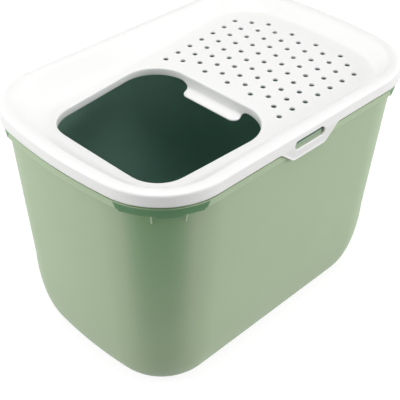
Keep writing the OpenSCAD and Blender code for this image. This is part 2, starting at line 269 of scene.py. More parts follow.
def plan_curve(c, corner_n, side):
    """Points on the outline with corner radius c, and their outward normals.

    They run anticlockwise from the middle of the +X end. side gives the x of those on a straight side.
    """
    cx, cy, a = corner_circle(c)
    pts, nrm = [], []

    def add(centre, radius, angle):
        n = (math.cos(angle), math.sin(angle))
        pts.append((centre[0] + radius * n[0], centre[1] + radius * n[1]))
        nrm.append(n)

    end_n = 10
    for k in range(end_n):
        add((END_X, 0), END_R, a * k / end_n)
    for k in range(corner_n):
        add((cx, cy), c, a + (math.pi / 2 - a) * k / corner_n)
    for x in [cx] + [x for x in side if x < cx - 0.5]:
        pts.append((x, HALF_W))
        nrm.append((0.0, 1.0))
    pts, nrm = np.array(pts), np.array(nrm)
    # The first quadrant ends at x = 0. The others are its mirror images.
    half_p = np.vstack([pts, (pts[::-1] * [-1, 1])[1:]])
    half_n = np.vstack([nrm, (nrm[::-1] * [-1, 1])[1:]])
    low_p, low_n = half_p[::-1] * [1, -1], half_n[::-1] * [1, -1]
    return np.vstack([half_p, low_p[1:-1]]), np.vstack([half_n, low_n[1:-1]])


def plan_inset_of(x, y, c=LID_C):
    """How far inside the outline with corner radius c a point lies."""
    ax, ay = np.abs(x), np.abs(y)
    cx, cy, a = corner_circle(c)
    side = HALF_W - ay
    end = END_R - np.hypot(ax - END_X, ay)
    corner = c - np.hypot(ax - cx, ay - cy)
    in_corner = (ax > cx) & (ay * math.cos(a) - (ax - END_X) * math.sin(a) > 0)
    return np.where(in_corner, corner, np.minimum(side, end))


# ---- Materials -------------------------------------------------------------

IOR = 1.49                # of polypropylene
FLOW_SCALE = 9.0          # flow marks to a metre
FLOW_SPAN = (0.35, 0.75)          # the noise's values between which a flow mark comes in
EDGE_SPAN = (0.52, 0.6)           # pointiness from a flat face to an edge with its whole painted highlight
EDGE_HIGHLIGHT = 0.18                  # how much paler the sharpest edge is painted, as a highlight
GRAIN_HEIGHT = 0.0001             # metres
CORNER_SHADE_TURN = (0.32, 0.5)         # |x y| of the normal where the corner's painted shade starts and where it is whole
CORNER_SHADE_RISE = (0.06, 0.35)        # heights in metres over which that painted shade grows, towards the brim
CORNER_SHADE_LOW = 0.15                 # its share at the lower one


def math_node(nt, operation, *values):
    node = nt.nodes.new("ShaderNodeMath")
    node.operation = operation
    for value, socket in zip(values, node.inputs):
        nt.links.new(value, socket)
    return node.outputs["Value"]


def map_range(nt, value, source, target=(0.0, 1.0), smooth=False):
    node = nt.nodes.new("ShaderNodeMapRange")
    if smooth:
        node.interpolation_type = "SMOOTHSTEP"
    for name, number in zip(("From Min", "From Max", "To Min", "To Max"), (*source, *target)):
        node.inputs[name].default_value = number
    nt.links.new(value, node.inputs["Value"])
    return node.outputs["Result"]


def mix_colours(nt, share, a, b):
    """a, with its share of b. Each is a colour or another node's output."""
    node = nt.nodes.new("ShaderNodeMix")
    node.data_type = "RGBA"
    for name, value in (("A", a), ("B", b)):
        if isinstance(value, tuple):
            node.inputs[name].default_value = (*value, 1)
        else:
            nt.links.new(value, node.inputs[name])
    nt.links.new(share, node.inputs["Factor"])
    return node.outputs["Result"]


def noise(nt, place, scale, detail):
    node = nt.nodes.new("ShaderNodeTexNoise")
    node.inputs["Scale"].default_value = scale
    node.inputs["Detail"].default_value = detail
    nt.links.new(place, node.inputs["Vector"])
    return node.outputs["Fac"]


def corner_shade_share(nt, coords):
    """Share of the painted shade: 1 in the middle of an upright rounded corner, near the brim. It falls off towards
    the walls and the floor.
    """
    normal, place = nt.nodes.new("ShaderNodeSeparateXYZ"), nt.nodes.new("ShaderNodeSeparateXYZ")
    nt.links.new(coords.outputs["Normal"], normal.inputs["Vector"])
    nt.links.new(coords.outputs["Object"], place.inputs["Vector"])
    # |x y| of the normal is 0.5 where the wall has turned half way.
    diagonal = math_node(nt, "ABSOLUTE", math_node(nt, "MULTIPLY", normal.outputs["X"], normal.outputs["Y"]))
    turn = map_range(nt, diagonal, CORNER_SHADE_TURN, smooth=True)
    height = map_range(nt, place.outputs["Z"], CORNER_SHADE_RISE, (CORNER_SHADE_LOW, 1.0))
    return math_node(nt, "MULTIPLY", turn, height)


def plastic(name, colour, deep, rough, grain=0.12, grain_mm=0.9, specular=0.5, corner=None):
    """Moulded plastic: a fine grain, faint flow marks in colour and gloss, and edges painted paler as a highlight.

    deep is the colour of the flow marks, and corner a deeper tone of painted shade round the tub's upright corners.
    """
    mat = bpy.data.materials.new(name)
    mat.use_nodes = True
    nt = mat.node_tree
    nt.nodes.clear()
    new, link = nt.nodes.new, nt.links.new
    out = new("ShaderNodeOutputMaterial")
    bsdf = new("ShaderNodeBsdfPrincipled")
    link(bsdf.outputs["BSDF"], out.inputs["Surface"])
    coords = new("ShaderNodeTexCoord")

    flow = noise(nt, coords.outputs["Object"], FLOW_SCALE, 3.0)
    body = mix_colours(nt, map_range(nt, flow, FLOW_SPAN, (0.0, 0.5)), colour, deep)
    # Painted shade: round the upright corners the colour turns deeper, as if less light reached them.
    if corner:
        body = mix_colours(nt, corner_shade_share(nt, coords), body, corner)
    # Painted highlight: sharp edges are paled, as where light catches their roundings.
    edges = new("ShaderNodeNewGeometry").outputs["Pointiness"]
    edge_highlight = tuple(min(1.0, v * 1.25 + 0.03) for v in colour)
    edge_highlighted = mix_colours(nt, map_range(nt, edges, EDGE_SPAN, (0.0, EDGE_HIGHLIGHT)), body, edge_highlight)
    link(edge_highlighted, bsdf.inputs["Base Color"])
    link(map_range(nt, flow, (0.0, 1.0), (rough - 0.05, rough + 0.06)), bsdf.inputs["Roughness"])

    bump = new("ShaderNodeBump")
    bump.inputs["Strength"].default_value = grain
    bump.inputs["Distance"].default_value = GRAIN_HEIGHT
    link(noise(nt, coords.outputs["Object"], 1.0 / (grain_mm * MM), 2.0), bump.inputs["Height"])
    link(bump.outputs["Normal"], bsdf.inputs["Normal"])
    bsdf.inputs["IOR"].default_value = IOR
    bsdf.inputs["Specular IOR Level"].default_value = specular
    return mat


# Painted shade: the deeper green that the tub's upright corners take, standing in for the darker light there.
CORNER_PAINTED_SHADE = (0.23, 0.395, 0.2)
GREEN = plastic("tub_green", (0.415, 0.525, 0.345), (0.395, 0.505, 0.33), 0.45, specular=0.3, corner=CORNER_PAINTED_SHADE)
# Painted light: the band is a lighter copy of the wall's green, for the light on its upright face.
GREEN_BAND_PAINTED_LIGHT = plastic("tub_green_band_painted_light", (0.455, 0.57, 0.38), (0.435, 0.55, 0.365), 0.45, specular=0.3, corner=CORNER_PAINTED_SHADE)
# Painted shade: the catch block is a darker, greyer green, for the shade behind the slot.
GREEN_CATCH_SHADED = plastic("tub_green_catch_shaded", (0.33, 0.43, 0.31), (0.31, 0.41, 0.29), 0.45, specular=0.3)
# Painted shade: the corner lips and the bars under them are a deep green, for the shade under the flange and skirt.
GREEN_LIP_SHADE = plastic("tub_green_lip_shade", (0.13, 0.28, 0.14), (0.12, 0.26, 0.13), 0.5, specular=0.25)
# Painted shade: the inside is a bluer green for the tint of shade in the tub, and its floor is darker still.
GREEN_IN_SHADE_TINT = plastic("tub_green_inside_shade_tint", (0.33, 0.54, 0.445), (0.31, 0.52, 0.425), 0.5)
# Painted shade: the inner floor is darker, as the deepest part of the tub.
GREEN_FLOOR_SHADE = plastic("tub_green_floor_shade", (0.23, 0.37, 0.36), (0.215, 0.35, 0.34), 0.5)
# Painted shadow: a near-black green for the catch block's top, under the slot's upper edge.
GREEN_PAINTED_SHADOW = plastic("tub_green_painted_shadow", (0.06, 0.13, 0.07), (0.055, 0.12, 0.065), 0.5, specular=0.25)
# Painted highlight: the ribs are a lighter green, for the light on their outer edges.
GREEN_RIB_LIT = plastic("tub_green_rib_lit", (0.55, 0.66, 0.48), (0.53, 0.64, 0.46), 0.4)
WHITE = plastic("lid_white", (0.84, 0.84, 0.83), (0.825, 0.825, 0.81), 0.36, grain=0.1, grain_mm=0.8)

# ---- Lid -------------------------------------------------------------------


def skirt_inset(z):
    return SKIRT_LEAN * (z - SKIRT_FOOT) / (SKIRT_TOP - SKIRT_FOOT)


def dish_z(i):
    """Height of the rim and the dished wall at an inset, past the crest."""
    past = i - RIM_IN
    u = np.clip(past / DISH_RUN, 0, 1)
    wall = RIM_Z - DISH_DEPTH * u * (2 - u)
    s = np.clip((i - CREST_IN) / (RIM_IN - CREST_IN), 0, 1)
    rim = CREST - (CREST - RIM_Z) * s ** 2.2
    # The rim rolls over into the wall.
    return np.where(past < 0, rim, wall) - RIM_SINK * np.exp(-(past / 2.2) ** 2)


def tread_z(x):
    return TREAD_Z + SLOPE * x


def top_z(p, i=None):
    """Height of the lid's upper face at the points p, all at inset i where it is given."""
    wall = dish_z(plan_inset_of(p[:, 0], p[:, 1]) if i is None else i)
    tread = tread_z(p[:, 0])
    apart = np.abs(wall - tread)
    return np.maximum(wall, tread) + np.where(apart < SOFT, (SOFT - apart) ** 2 / (4 * SOFT), 0)


def opening_at(angle):
    """The opening's edge in a direction from its middle, and the outward normal there."""
    circles = [(x, -y, r) for x, y, r in OPEN] + [(x, y, r) for x, y, r in OPEN[::-1]]
    o = np.array(OPEN_MID)
    d = np.array([math.cos(angle), math.sin(angle)])
    best, normal = -1.0, None
    for (x, y, r), (x2, y2, r2) in zip(circles, circles[1:] + circles[:1]):
        centre = np.array([x, y])
        m = centre - o
        b = m @ d
        disc = b * b - (m @ m - r * r)
        if disc >= 0:
            t = b + math.sqrt(disc)
            if t > best:
                best, normal = t, (o + d * t - centre) / r
        # The straight edge from this circle to the next.
        span = np.array([x2 - x, y2 - y])
        turn = math.atan2(span[1], span[0]) - math.acos((r - r2) / np.hypot(*span))
        n = np.array([math.cos(turn), math.sin(turn)])
        if d @ n > 1e-6:
            t = (n @ m + r) / (d @ n)
            along = np.array([-n[1], n[0]])
            if 0 <= (o + d * t - centre) @ along <= span @ along and t > best:
                best, normal = t, n
    return o + d * best, normal


def lid_shell():
    """The lid but for its tabs, from the skirt's foot over the rim to the opening, and back underneath."""
    p0, n0 = plan_curve(LID_C, 30, SIDE_X)
    cols = len(p0)
    rows = []

    def row(p, z):
        rows.append(np.column_stack([p, np.broadcast_to(z, cols)]))

    def ring(i, z):
        row(p0 - n0 * i, z)

    def top_ring(i, drop=0.0):
        p = p0 - n0 * i
        row(p, top_z(p, i) - drop)

    # Outside, from the skirt's foot up and over the crest into the dish.
    for i, rise in ((2.0, 0), (1.2, 0), (0.55, 0.2), (0.18, 0.65), (0.1, 1.3)):
        ring(i, SKIRT_FOOT + rise)
    for z in (*SKIRT_ROWS, SEAM_Z):
        ring(skirt_inset(z), z)
    for k in range(1, 9):
        a = math.pi / 2 * k / 8
        ring(CREST_IN - (CREST_IN - SKIRT_LEAN) * math.cos(a), SKIRT_TOP + (CREST - SKIRT_TOP) * math.sin(a))
    for i in (13, 15, 17, 18.5, 19.7, 20.6, 21.5, 22.6, 24, 26, 28.5, 31, 34, 37, 40, 43.5, 47, DISH_END):
        top_ring(i)
    # From there to the opening.
    base = p0 - n0 * DISH_END
    hit = [opening_at(t) for t in np.arctan2(base[:, 1] - OPEN_MID[1], base[:, 0] - OPEN_MID[0])]
    edge = np.array([h[0] for h in hit])
    out = np.array([h[1] for h in hit])
    near = edge + out * LIP_ROLL_RUN
    steps = 22
    for k in range(1, steps + 1):
        t = k / steps
        t = t * (1.35 - 0.35 * t)     # closer rows near the opening
        p = base * (1 - t) + near * t
        row(p, top_z(p))
    # Rolled over into the lip, round its foot and back up.
    near_z = top_z(near)
    for k in range(1, 6):
        a = math.pi / 2 * k / 5
        row(edge + out * (LIP_ROLL - LIP_ROLL * math.sin(a)), near_z - LIP_ROLL * (1 - math.cos(a)))
    foot = tread_z(edge[:, 0]) - LIP_DROP
    for off, rise in ((0, 1.2), (0.25, 0.35), (0.9, 0), (1.6, 0), (2.15, 0.35), (LID_T, 1.2)):
        row(edge + out * off, foot + rise)
    row(edge + out * (LID_T + 0.4), near_z - LID_T - 1.0)
    # Underneath, out to the skirt.
    for k in range(1, 9):
        t = k / 8
        p = (edge + out * 5) * (1 - t) + base * t
        row(p, top_z(p) - LID_T)
    for i, drop in ((44, 2.7), (37, 3.0), (31, 3.4), (26, 3.9), (22, 3.7), (18, 3.0), (11, 2.6)):
        top_ring(i, drop)
    ring(7.5, SKIRT_TOP + 0.8)
    for z in (SEAM_Z, *SKIRT_ROWS[::-1], SKIRT_FOOT + 0.7):
        ring(skirt_inset(z) + LID_T, z)
    ring(2.5, SKIRT_FOOT + 0.15)

    n_rows = len(rows)
    on_side = (np.abs(p0[:, 0]) <= TAB_SIDE + 0.01) & (np.abs(p0[:, 1]) > HALF_W - 1)
    at_seam = [k for k, r in enumerate(rows) if abs(r[0][2] - SEAM_Z) < 1e-6]
    seam, back = at_seam[0], at_seam[-1]

    def keep(r, c):
        return not (on_side[c] and on_side[(c + 1) % cols]) or seam <= r < back

    faces = grid_faces(n_rows, cols, close_rows=True, keep=keep)
    # Walls round the places that the tabs fill.
    below = list(range(back, n_rows)) + list(range(0, seam + 1))
    for c in range(cols):
        c2 = (c + 1) % cols
        if on_side[c] and on_side[c2]:
            faces.append((seam * cols + c, back * cols + c, back * cols + c2, seam * cols + c2))
        if on_side[c] != on_side[c2]:
            edge_col = c if on_side[c] else c2
            faces.append(tuple(r * cols + edge_col for r in below))
    return mesh_object("lid_shell", np.vstack(rows), faces, WHITE, 50)


def holes():
    """Cutters for the perforations: eleven rows of seven, staggered and fanned."""
    bm = bmesh.new()
    for row in range(-5, 6):
        start = -5 if abs(row) == 5 else (-4 if row % 2 == 0 else -3)
        angle = row * ROW_STEP / FAN_R
        for k in range(7):
            r = FAN_R + (start + 2 * k) * HOLE_STEP / 2
            x, y = FAN_X - FAN_R + r * math.cos(angle), r * math.sin(angle)
            bmesh.ops.create_cone(
                bm, cap_ends=True, segments=28, radius1=(HOLE_R - HOLE_DRAFT) * MM,
                radius2=(HOLE_R + HOLE_DRAFT) * MM, depth=HOLE_DEPTH * MM,
                matrix=Matrix.Translation((x * MM, y * MM, tread_z(x) * MM)),
            )
    return cutter("hole_cutters", bm)


def sweep_sheet(name, line, halves, thick, material):
    """A sheet that follows a line in x and z. halves and thick give its half width and thickness at each point."""
    line = np.array(line, float)
    d = np.gradient(line, axis=0)
    d /= np.linalg.norm(d, axis=1)[:, None]
    n = np.column_stack([d[:, 1], -d[:, 0]])
    ts = np.concatenate([[-1, -0.997, -0.985], np.linspace(-0.96, 0.96, 31), [0.985, 0.997, 1]])
    ease = np.where(np.abs(ts) > 0.999, 0.35, np.where(np.abs(ts) > 0.99, 0.8, 1.0))   # rounds the sheet's sides
    front, back = [], []
    for p, m, half, t in zip(line, n, halves, thick):
        for u, e in zip(ts, ease):
            front.append((p[0] + m[0] * t / 2 * e, half * u, p[1] + m[1] * t / 2 * e))
            back.append((p[0] - m[0] * t / 2 * e, half * u, p[1] - m[1] * t / 2 * e))
    rows, cols = len(line), len(ts)
    faces = grid_faces(rows, cols, close_cols=False)
    off = rows * cols
    faces += [tuple(off + v for v in f[::-1]) for f in faces]
    rim = list(range(cols)) + [r * cols + cols - 1 for r in range(1, rows)]
    rim += [(rows - 1) * cols + c for c in range(cols - 2, -1, -1)]
    rim += [r * cols for r in range(rows - 2, 0, -1)]
    for a, b in zip(rim, rim[1:] + rim[:1]):
        faces.append((a, b, off + b, off + a))
    return mesh_object(name, front + back, faces, material, 60)


def ledge():
    """Hangs from the wide edge of the opening and bends into it, with fillets where it leaves the lip."""
    mid_x = LEDGE_X + LID_T / 2
    low = TREAD_Z - LEDGE_DROP - LID_T / 2
    lip_z = tread_z(LEDGE_X) - LIP_DROP
    heights = [TREAD_Z - 6, lip_z + 5, lip_z + 3, lip_z + 1.5, lip_z + 0.7, lip_z]
    heights += [lip_z - LEDGE_FILLET * (1 - math.cos(a)) for a in np.linspace(0.25, math.pi / 2, 9)]
    line = [(mid_x, z) for z in heights if z > low + LEDGE_BEND + 0.3]
    for a in np.linspace(0, math.pi / 2, 11):
        line.append((mid_x - LEDGE_BEND * (1 - math.cos(a)), low + LEDGE_BEND * (1 - math.sin(a))))
    tip = LEDGE_X - LEDGE_REACH
    turn = tip + LEDGE_TIP_R
    xs = [x for x in (line[-1][0] - 2, line[-1][0] - 4) if x > turn + 0.5]
    xs += [tip + LEDGE_TIP_R * (1 - math.sin(a)) for a in np.linspace(0, math.pi / 2, 14)]
    line += [(x, low) for x in xs if x < line[-1][0] - 0.05]

    def half(x, z):
        if z > lip_z:
            return LEDGE_HALF + LEDGE_FILLET
        if z > lip_z - LEDGE_FILLET:
            u = LEDGE_FILLET - (lip_z - z)
            return LEDGE_HALF + LEDGE_FILLET - math.sqrt(LEDGE_FILLET ** 2 - u * u)
        past = max(0.0, turn - x)
        return LEDGE_HALF - LEDGE_TIP_R + math.sqrt(max(0.0, LEDGE_TIP_R ** 2 - past * past))

    def thick(x, z):
        # A little thicker than the lip below it and thinner inside it, and thinned to a round tip.
        if x > tip + 0.4:
            return LID_T + 0.2 - 0.3 * float(smoothstep((z - lip_z - 0.7) / 3.8))
        return LID_T - 1.0 + (x - tip) / 0.4

    return sweep_sheet("lid_ledge", line, [half(x, z) for x, z in line], [thick(x, z) for x, z in line], WHITE)


# ---- Tabs ------------------------------------------------------------------


def tab_foot_z(x):
    """Height of the tab's lower outline. A hollow shoulder carries it into the skirt's foot."""
    ax = abs(x)
    centre_z = TAB_FOOT + TAB_R
    run, rise = TAB_TOP - TAB_LOW, SKIRT_FOOT - centre_z
    lean = math.atan2(rise, run) + math.asin(TAB_R / math.hypot(run, rise))
    touch = TAB_LOW + TAB_R * math.sin(lean)
    reach = SHOULDER_R * math.tan(lean / 2)
    if ax <= TAB_LOW:
        return TAB_FOOT
    if ax < touch:
        return centre_z - math.sqrt(TAB_R ** 2 - (ax - TAB_LOW) ** 2)
    if ax < TAB_TOP - reach * math.cos(lean):
        return centre_z - TAB_R * math.cos(lean) + (ax - touch) * math.tan(lean)
    if ax < TAB_TOP + reach:
        return SKIRT_FOOT - SHOULDER_R + math.sqrt(SHOULDER_R ** 2 - (TAB_TOP + reach - ax) ** 2)
    return SKIRT_FOOT


def tab_skin(name, side):
    """A tab and the piece of skirt over it, down the outside, round the foot and back up."""
    half = SIDE_X[SIDE_X <= TAB_SIDE]
    xs = np.concatenate([-half, half[-2::-1]])
    cols = len(xs)
    foot = np.array([tab_foot_z(x) for x in xs])
    bead = TAB_BEAD * np.clip((SKIRT_FOOT - foot) / 6, 0, 1)
    rows = []

    def row(inset, z):
        rows.append(np.column_stack([xs, np.broadcast_to(inset - HALF_W, cols), z]))

    def face_inset(z):
        return np.where(z > SKIRT_FOOT, skirt_inset(z), TAB_OUT)

    for t in np.linspace(0, 1, 13):
        z = SEAM_Z * (1 - t) + (foot + 4.4) * t
        row(face_inset(z), z)
    for share, rise in ((0.0, 3.6), (0.2, 3.0), (0.85, 1.6), (1.0, 1.1)):
        row(face_inset(foot + rise) - bead * share, foot + rise)
    row(0.18 - bead * 0.8, foot + 0.6)
    row(0.55 - bead * 0.4, foot + 0.2)
    row(1.2, foot)
    row(2.0, foot)
    row(LID_T, foot + 0.3)
    for t in np.linspace(1, 0, 9):
        z = SEAM_Z * (1 - t) + (foot + 1.3) * t
        row(face_inset(z) + LID_T, z)
    n = len(rows)
    faces = grid_faces(n, cols, close_rows=True, close_cols=False)
    faces += [tuple(r * cols + c for r in range(n)) for c in (0, cols - 1)]
    return mesh_object(name, np.vstack(rows) * [1, -side, 1], faces, WHITE, 50)


def slot_cutter(side):
    """Cuts the rounded slot through a tab, and its chamfer."""
    r = SLOT_H / 2
    half = SLOT_L / 2 - r
    turn = np.linspace(-math.pi / 2, math.pi / 2, 16)
    line = [(half + r * math.cos(a), SLOT_Z + r * math.sin(a)) for a in turn]
    line += [(-half + r * math.cos(a), SLOT_Z + r * math.sin(a)) for a in turn + math.pi]
    wide = 1.0 + SLOT_CHAMFER / r
    bm = bmesh.new()
    rings = []
    # The chamfer ends just off the tab's face.
    for y, grow in ((CUT_FROM, 1.0), (HALF_W - 0.9, 1.0), (HALF_W + 0.1, wide), (CUT_TO, wide)):
        ring = []
        for x, z in line:
            end = math.copysign(half, x)
            place = (end + (x - end) * grow, side * y, SLOT_Z + (z - SLOT_Z) * grow)
            ring.append(bm.verts.new([v * MM for v in place]))
        rings.append(ring)
    m = len(line)
    for low, high in zip(rings, rings[1:]):
        for k in range(m):
            bm.faces.new((low[k], low[(k + 1) % m], high[(k + 1) % m], high[k]))
    bm.faces.new(rings[0][::-1])
    bm.faces.new(rings[-1])
    bmesh.ops.recalc_face_normals(bm, faces=bm.faces)
    return cutter("slot_cutter", bm)


# ---- Tub -------------------------------------------------------------------


def wall_line(t, floor):
    """Insets and heights down the wall from WALL_START to the floor, t in from its outside."""
    lean = [(WALL_IN + t, WALL_START), (WALL_IN + WALL_LEAN + t, BASE_RISE)]
    pts = [(lean[0][0] + (lean[1][0] - lean[0][0]) * s, WALL_START + (BASE_RISE - WALL_START) * s)
           for s in np.linspace(0, 1, 9)]
    n = 22
    for k in range(1, n + 1):
        a = math.pi / 2 * k / n
        inset = WALL_IN + WALL_LEAN + BASE_RUN - (BASE_RUN - t) * math.cos(a)
        pts.append((inset, BASE_RISE - (BASE_RISE - floor) * math.sin(a)))
    return pts


def tub_shell():
    """The tub's wall and floor, from the middle of the inside up over the brim and down to the base's middle."""
    p0, n0 = plan_curve(TUB_C, 36, np.linspace(150, 0, 14))
    cols = len(p0)
    rows = []

    def ring(i, z, scale=1.0):
        rows.append(np.column_stack([(p0 - n0 * i) * scale, np.full(cols, z)]))

    outer = wall_line(0, 0)
    inner = wall_line(WALL_T, FLOOR_T)
    shares = (0.05, 0.25, 0.5, 0.75)     # rows across a floor, as shares of its outline
    for s in shares:
        ring(inner[-1][0], FLOOR_T, s)
    for i, z in inner[::-1]:
        ring(i, z)
    for k in range(7):
        a = math.pi * k / 6
        ring(WALL_IN + WALL_T / 2 + WALL_T / 2 * math.cos(a), WALL_TOP - BRIM_R + BRIM_R * math.sin(a))
    for i, z in outer:
        ring(i, z)
    for s in shares[::-1]:
        ring(outer[-1][0], 0.0, s)
    n = len(rows)
    faces = grid_faces(n, cols)
    faces.append(tuple(range(cols)))
    faces.append(tuple((n - 1) * cols + c for c in range(cols))[::-1])
    obj = mesh_object("tub_shell", np.vstack(rows), faces, GREEN, 50)

    def inside(c, normal):
        below_brim = c.z < WALL_TOP - BRIM_R - 0.1
        return below_brim and (c.x * normal.x + c.y * normal.y < -0.5 or (normal.z > 0.5 and c.z > 1))

    # Painted shade: the inside takes the bluer shade tint, and its lowest part the darker shade of the floor.
    face_material(obj, GREEN_IN_SHADE_TINT, inside)
    face_material(obj, GREEN_FLOOR_SHADE, lambda c, normal: c.z < INNER_FLOOR_SHADE_Z and inside(c, normal))
    return obj


def wall_at(point, normal, z=WALL_TOP):
    """How far in from a point of the skirt's outline the middle of the tub's wall stands."""
    target = WALL_IN + WALL_T / 2 + WALL_LEAN * max(0.0, WALL_START - z) / (WALL_START - BASE_RISE)
    near, far = 0.0, 40.0
    for _ in range(30):      # halves the span each time
        mid = (near + far) / 2
        q = point - normal * mid
        if plan_inset_of(q[0], q[1], TUB_C) < target:
            near = mid
        else:
            far = mid
    return near


def slant_z(d):
    """Height of a lip's slanted end, at d degrees round the corner."""
    out = max(LIP_FROM - d, d - LIP_TO, 0.0) / LIP_SLANT
    return LIP_FOOT + (FLANGE_LOW - LIP_FOOT) * min(1.0, out)


def band_profile(kind, d, inner):
    """Insets and heights down the band's face and round its foot, from the tub's wall and back to it."""
    z = slant_z(d) if kind == "corner" else FLANGE_LOW
    lip = z < FLANGE_LOW - 0.01
    whole = z <= BAND_FOOT
    foot = z if whole else BAND_FOOT
    # A lip is shallow at its ends.
    share = 0.15 + 0.85 * float(smoothstep((min(d - LIP_FROM, LIP_TO - d) + LIP_SLANT) / LIP_EASE))

    def plain(h):
        return BAND_IN + BAND_LEAN * (h - BAND_FOOT) / (FLANGE_LOW - BAND_FOOT)

    def hung(h):
        return BAND_IN + share * (LIP_RECESS + LIP_LEAN * (FLANGE_LOW - h) / (FLANGE_LOW - LIP_FOOT))

    upper = hung if lip else plain
    lower = hung if whole else plain
    low = lower(foot)
    z1 = foot + 2.4 if whole else min(z, FLANGE_LOW - 0.5)
    z2 = foot + 1.5 if whole else z1 - 0.5
    back = low + BAND_T
    pocket = kind == "corner" and LIP_FROM - POCKET - 1e-6 <= d <= LIP_TO + POCKET + 1e-6
    roof = LEDGE - BAND_T if pocket else foot
    return [
        (inner, LEDGE), (GROOVE_IN + 0.3, LEDGE), (GROOVE_IN, LEDGE - 0.3), (GROOVE_IN, FLANGE_TOP),
        (BAND_IN + 0.35, FLANGE_TOP), (BAND_IN, FLANGE_TOP - 0.35), (BAND_IN, FLANGE_LOW + 0.25),
        (0.8 * BAND_IN + 0.2 * upper(FLANGE_LOW), FLANGE_LOW), (upper(FLANGE_LOW - 0.3), FLANGE_LOW - 0.3),
        (upper(z1), z1), (lower(z2), z2), (lower(foot + 0.7), foot + 0.7), (low + 0.25, foot + 0.15),
        (low + 0.8, foot), (back - 0.2, foot), (back, max(foot + 0.3, roof)), (back + 0.5, roof),
        (inner, roof),
    ]


def tub_band():
    """The band and flange under the skirt, with a recessed lip that hangs at each corner."""
    cols = []     # point, normal and the profile there

    def add(middle, radius, angle, kind, d):
        normal = np.array([math.cos(angle), math.sin(angle)])
        point = np.array(middle) + radius * normal
        cols.append((point, normal, band_profile(kind, d, wall_at(point, normal))))

    for k in range(8):
        add((END_X, 0), END_R, CORNER_A * k / 8, "side", 0)
    ends = list(np.linspace(LIP_FROM - LIP_SLANT, LIP_FROM, 9)) + list(np.linspace(LIP_TO, LIP_TO + LIP_SLANT, 9))
    degs = {math.degrees(CORNER_A), LIP_FROM - POCKET, LIP_TO + POCKET, *ends, *np.arange(18, 78, 2.0), 86, 88, 90}
    for d in sorted(degs):
        add((CORNER_X, CORNER_Y), LID_C, math.radians(d), "corner", d)
    for x in (140.0, 110.0, 90.0, 60.0, 30.0, 0.0):
        add((x, HALF_W), 0.0, math.pi / 2, "side", 0)
    half = cols + [(p * [-1, 1], n * [-1, 1], q) for p, n, q in cols[::-1]][1:]
    ring = half + [(p * [1, -1], n * [1, -1], q) for p, n, q in half[::-1]][1:-1]
    n_rows = len(ring[0][2])
    verts = [(p[0] - n[0] * q[k][0], p[1] - n[1] * q[k][0], q[k][1]) for k in range(n_rows) for p, n, q in ring]
    # The band takes the lighter green of painted light.
    obj = mesh_object("tub_band", verts, grid_faces(n_rows, len(ring), close_rows=True), GREEN_BAND_PAINTED_LIGHT, 35)

    def on_shaded_lip(c, normal):
        ax, ay = abs(c.x) - CORNER_X, abs(c.y) - CORNER_Y
        if ax < 0 or ay < 0 or c.z > FLANGE_LOW - 0.05 or c.z < slant_z(math.degrees(math.atan2(ay, ax))) - 0.05:
            return False
        outward = (normal.x * math.copysign(ax, c.x) + normal.y * math.copysign(ay, c.y)) / math.hypot(ax, ay)
        return outward > 0.5

    # The lip's face is painted the deep green of its shade.
    face_material(obj, GREEN_LIP_SHADE, on_shaded_lip)
    return obj


def prism(name, loops, material, bevel):
    """A closed prism between two outlines of the same number of points."""
    n = len(loops[0])
    faces = [tuple(range(n)), tuple(range(2 * n - 1, n - 1, -1))]
    faces += [(k, (k + 1) % n, n + (k + 1) % n, n + k) for k in range(n)]
    obj = mesh_object(name, loops[0] + loops[1], faces, material, 30)
    mod = obj.modifiers.new("round", "BEVEL")
    mod.width = bevel * MM
    mod.segments = 2
    mod.limit_method = "ANGLE"
    return obj


def ribs():
    """Two thin ribs under each lip, and the low bar between them."""
    out = []
    for sx in (-1, 1):
        for sy in (-1, 1):
            for deg in RIB_ANGLES:
                d = np.array([math.cos(math.radians(deg)), math.sin(math.radians(deg))])
                t = np.array([-d[1], d[0]])
                point = np.array([CORNER_X, CORNER_Y]) + LID_C * d
                line = [(LID_C - wall_at(point, d, z), z) for z in (RIB_FOOT, RIB_MID, RIB_TOP)] + RIB_FACE
                loops = [
                    [(sx * (CORNER_X + r * d[0] + s * t[0]), sy * (CORNER_Y + r * d[1] + s * t[1]), z)
                     for r, z in line]
                    for s in (-RIB_HALF_T, RIB_HALF_T)
                ]
                # The ribs are painted a lighter green, as a highlight.
                out.append(prism("tub_rib_%d" % len(out), loops, GREEN_RIB_LIT, 0.3))
            out.append(low_bar("tub_bar_%d" % (len(out) // 3), sx, sy))
    return out


def low_bar(name, sx, sy):
    angles = np.radians(np.linspace(RIB_ANGLES[0] + BAR_GAP, RIB_ANGLES[1] - BAR_GAP, 10))
    verts = [(sx * (CORNER_X + r * math.cos(t)), sy * (CORNER_Y + r * math.sin(t)), z) for t in angles for r, z in BAR]
    n = len(BAR)
    faces = grid_faces(len(angles), n)
    faces += [tuple(range(n)), tuple(range(len(verts) - n, len(verts)))]
    # The bar is painted the lip's deep shade green.
    return mesh_object(name, verts, faces, GREEN_LIP_SHADE, 30)


def catch_block(side):
    """The ramped block that fills a tab's slot from behind."""
    loops = [[(x, side * y, z) for y, z in CATCH] for x in (-CATCH_HALF, CATCH_HALF)]
    # The block is painted darker for the shade behind the slot, and its top near-black as painted shadow.
    obj = prism("tub_catch_front" if side < 0 else "tub_catch_rear", loops, GREEN_CATCH_SHADED, 0.5)
    face_material(obj, GREEN_PAINTED_SHADOW, lambda c, normal: c.z > CATCH_SHADE_Z)
    return obj


# ---- Build -----------------------------------------------------------------

lid = lid_shell()
cut(lid, holes(), 50)
lid_ledge = ledge()
front = tab_skin("front_tab_skin", -1)
rear = tab_skin("rear_tab_skin", 1)
cut(front, slot_cutter(-1), 50)
cut(rear, slot_cutter(1), 50)
shell = tub_shell()
tub_pieces = [shell, tub_band()] + ribs() + [catch_block(-1), catch_block(1)]

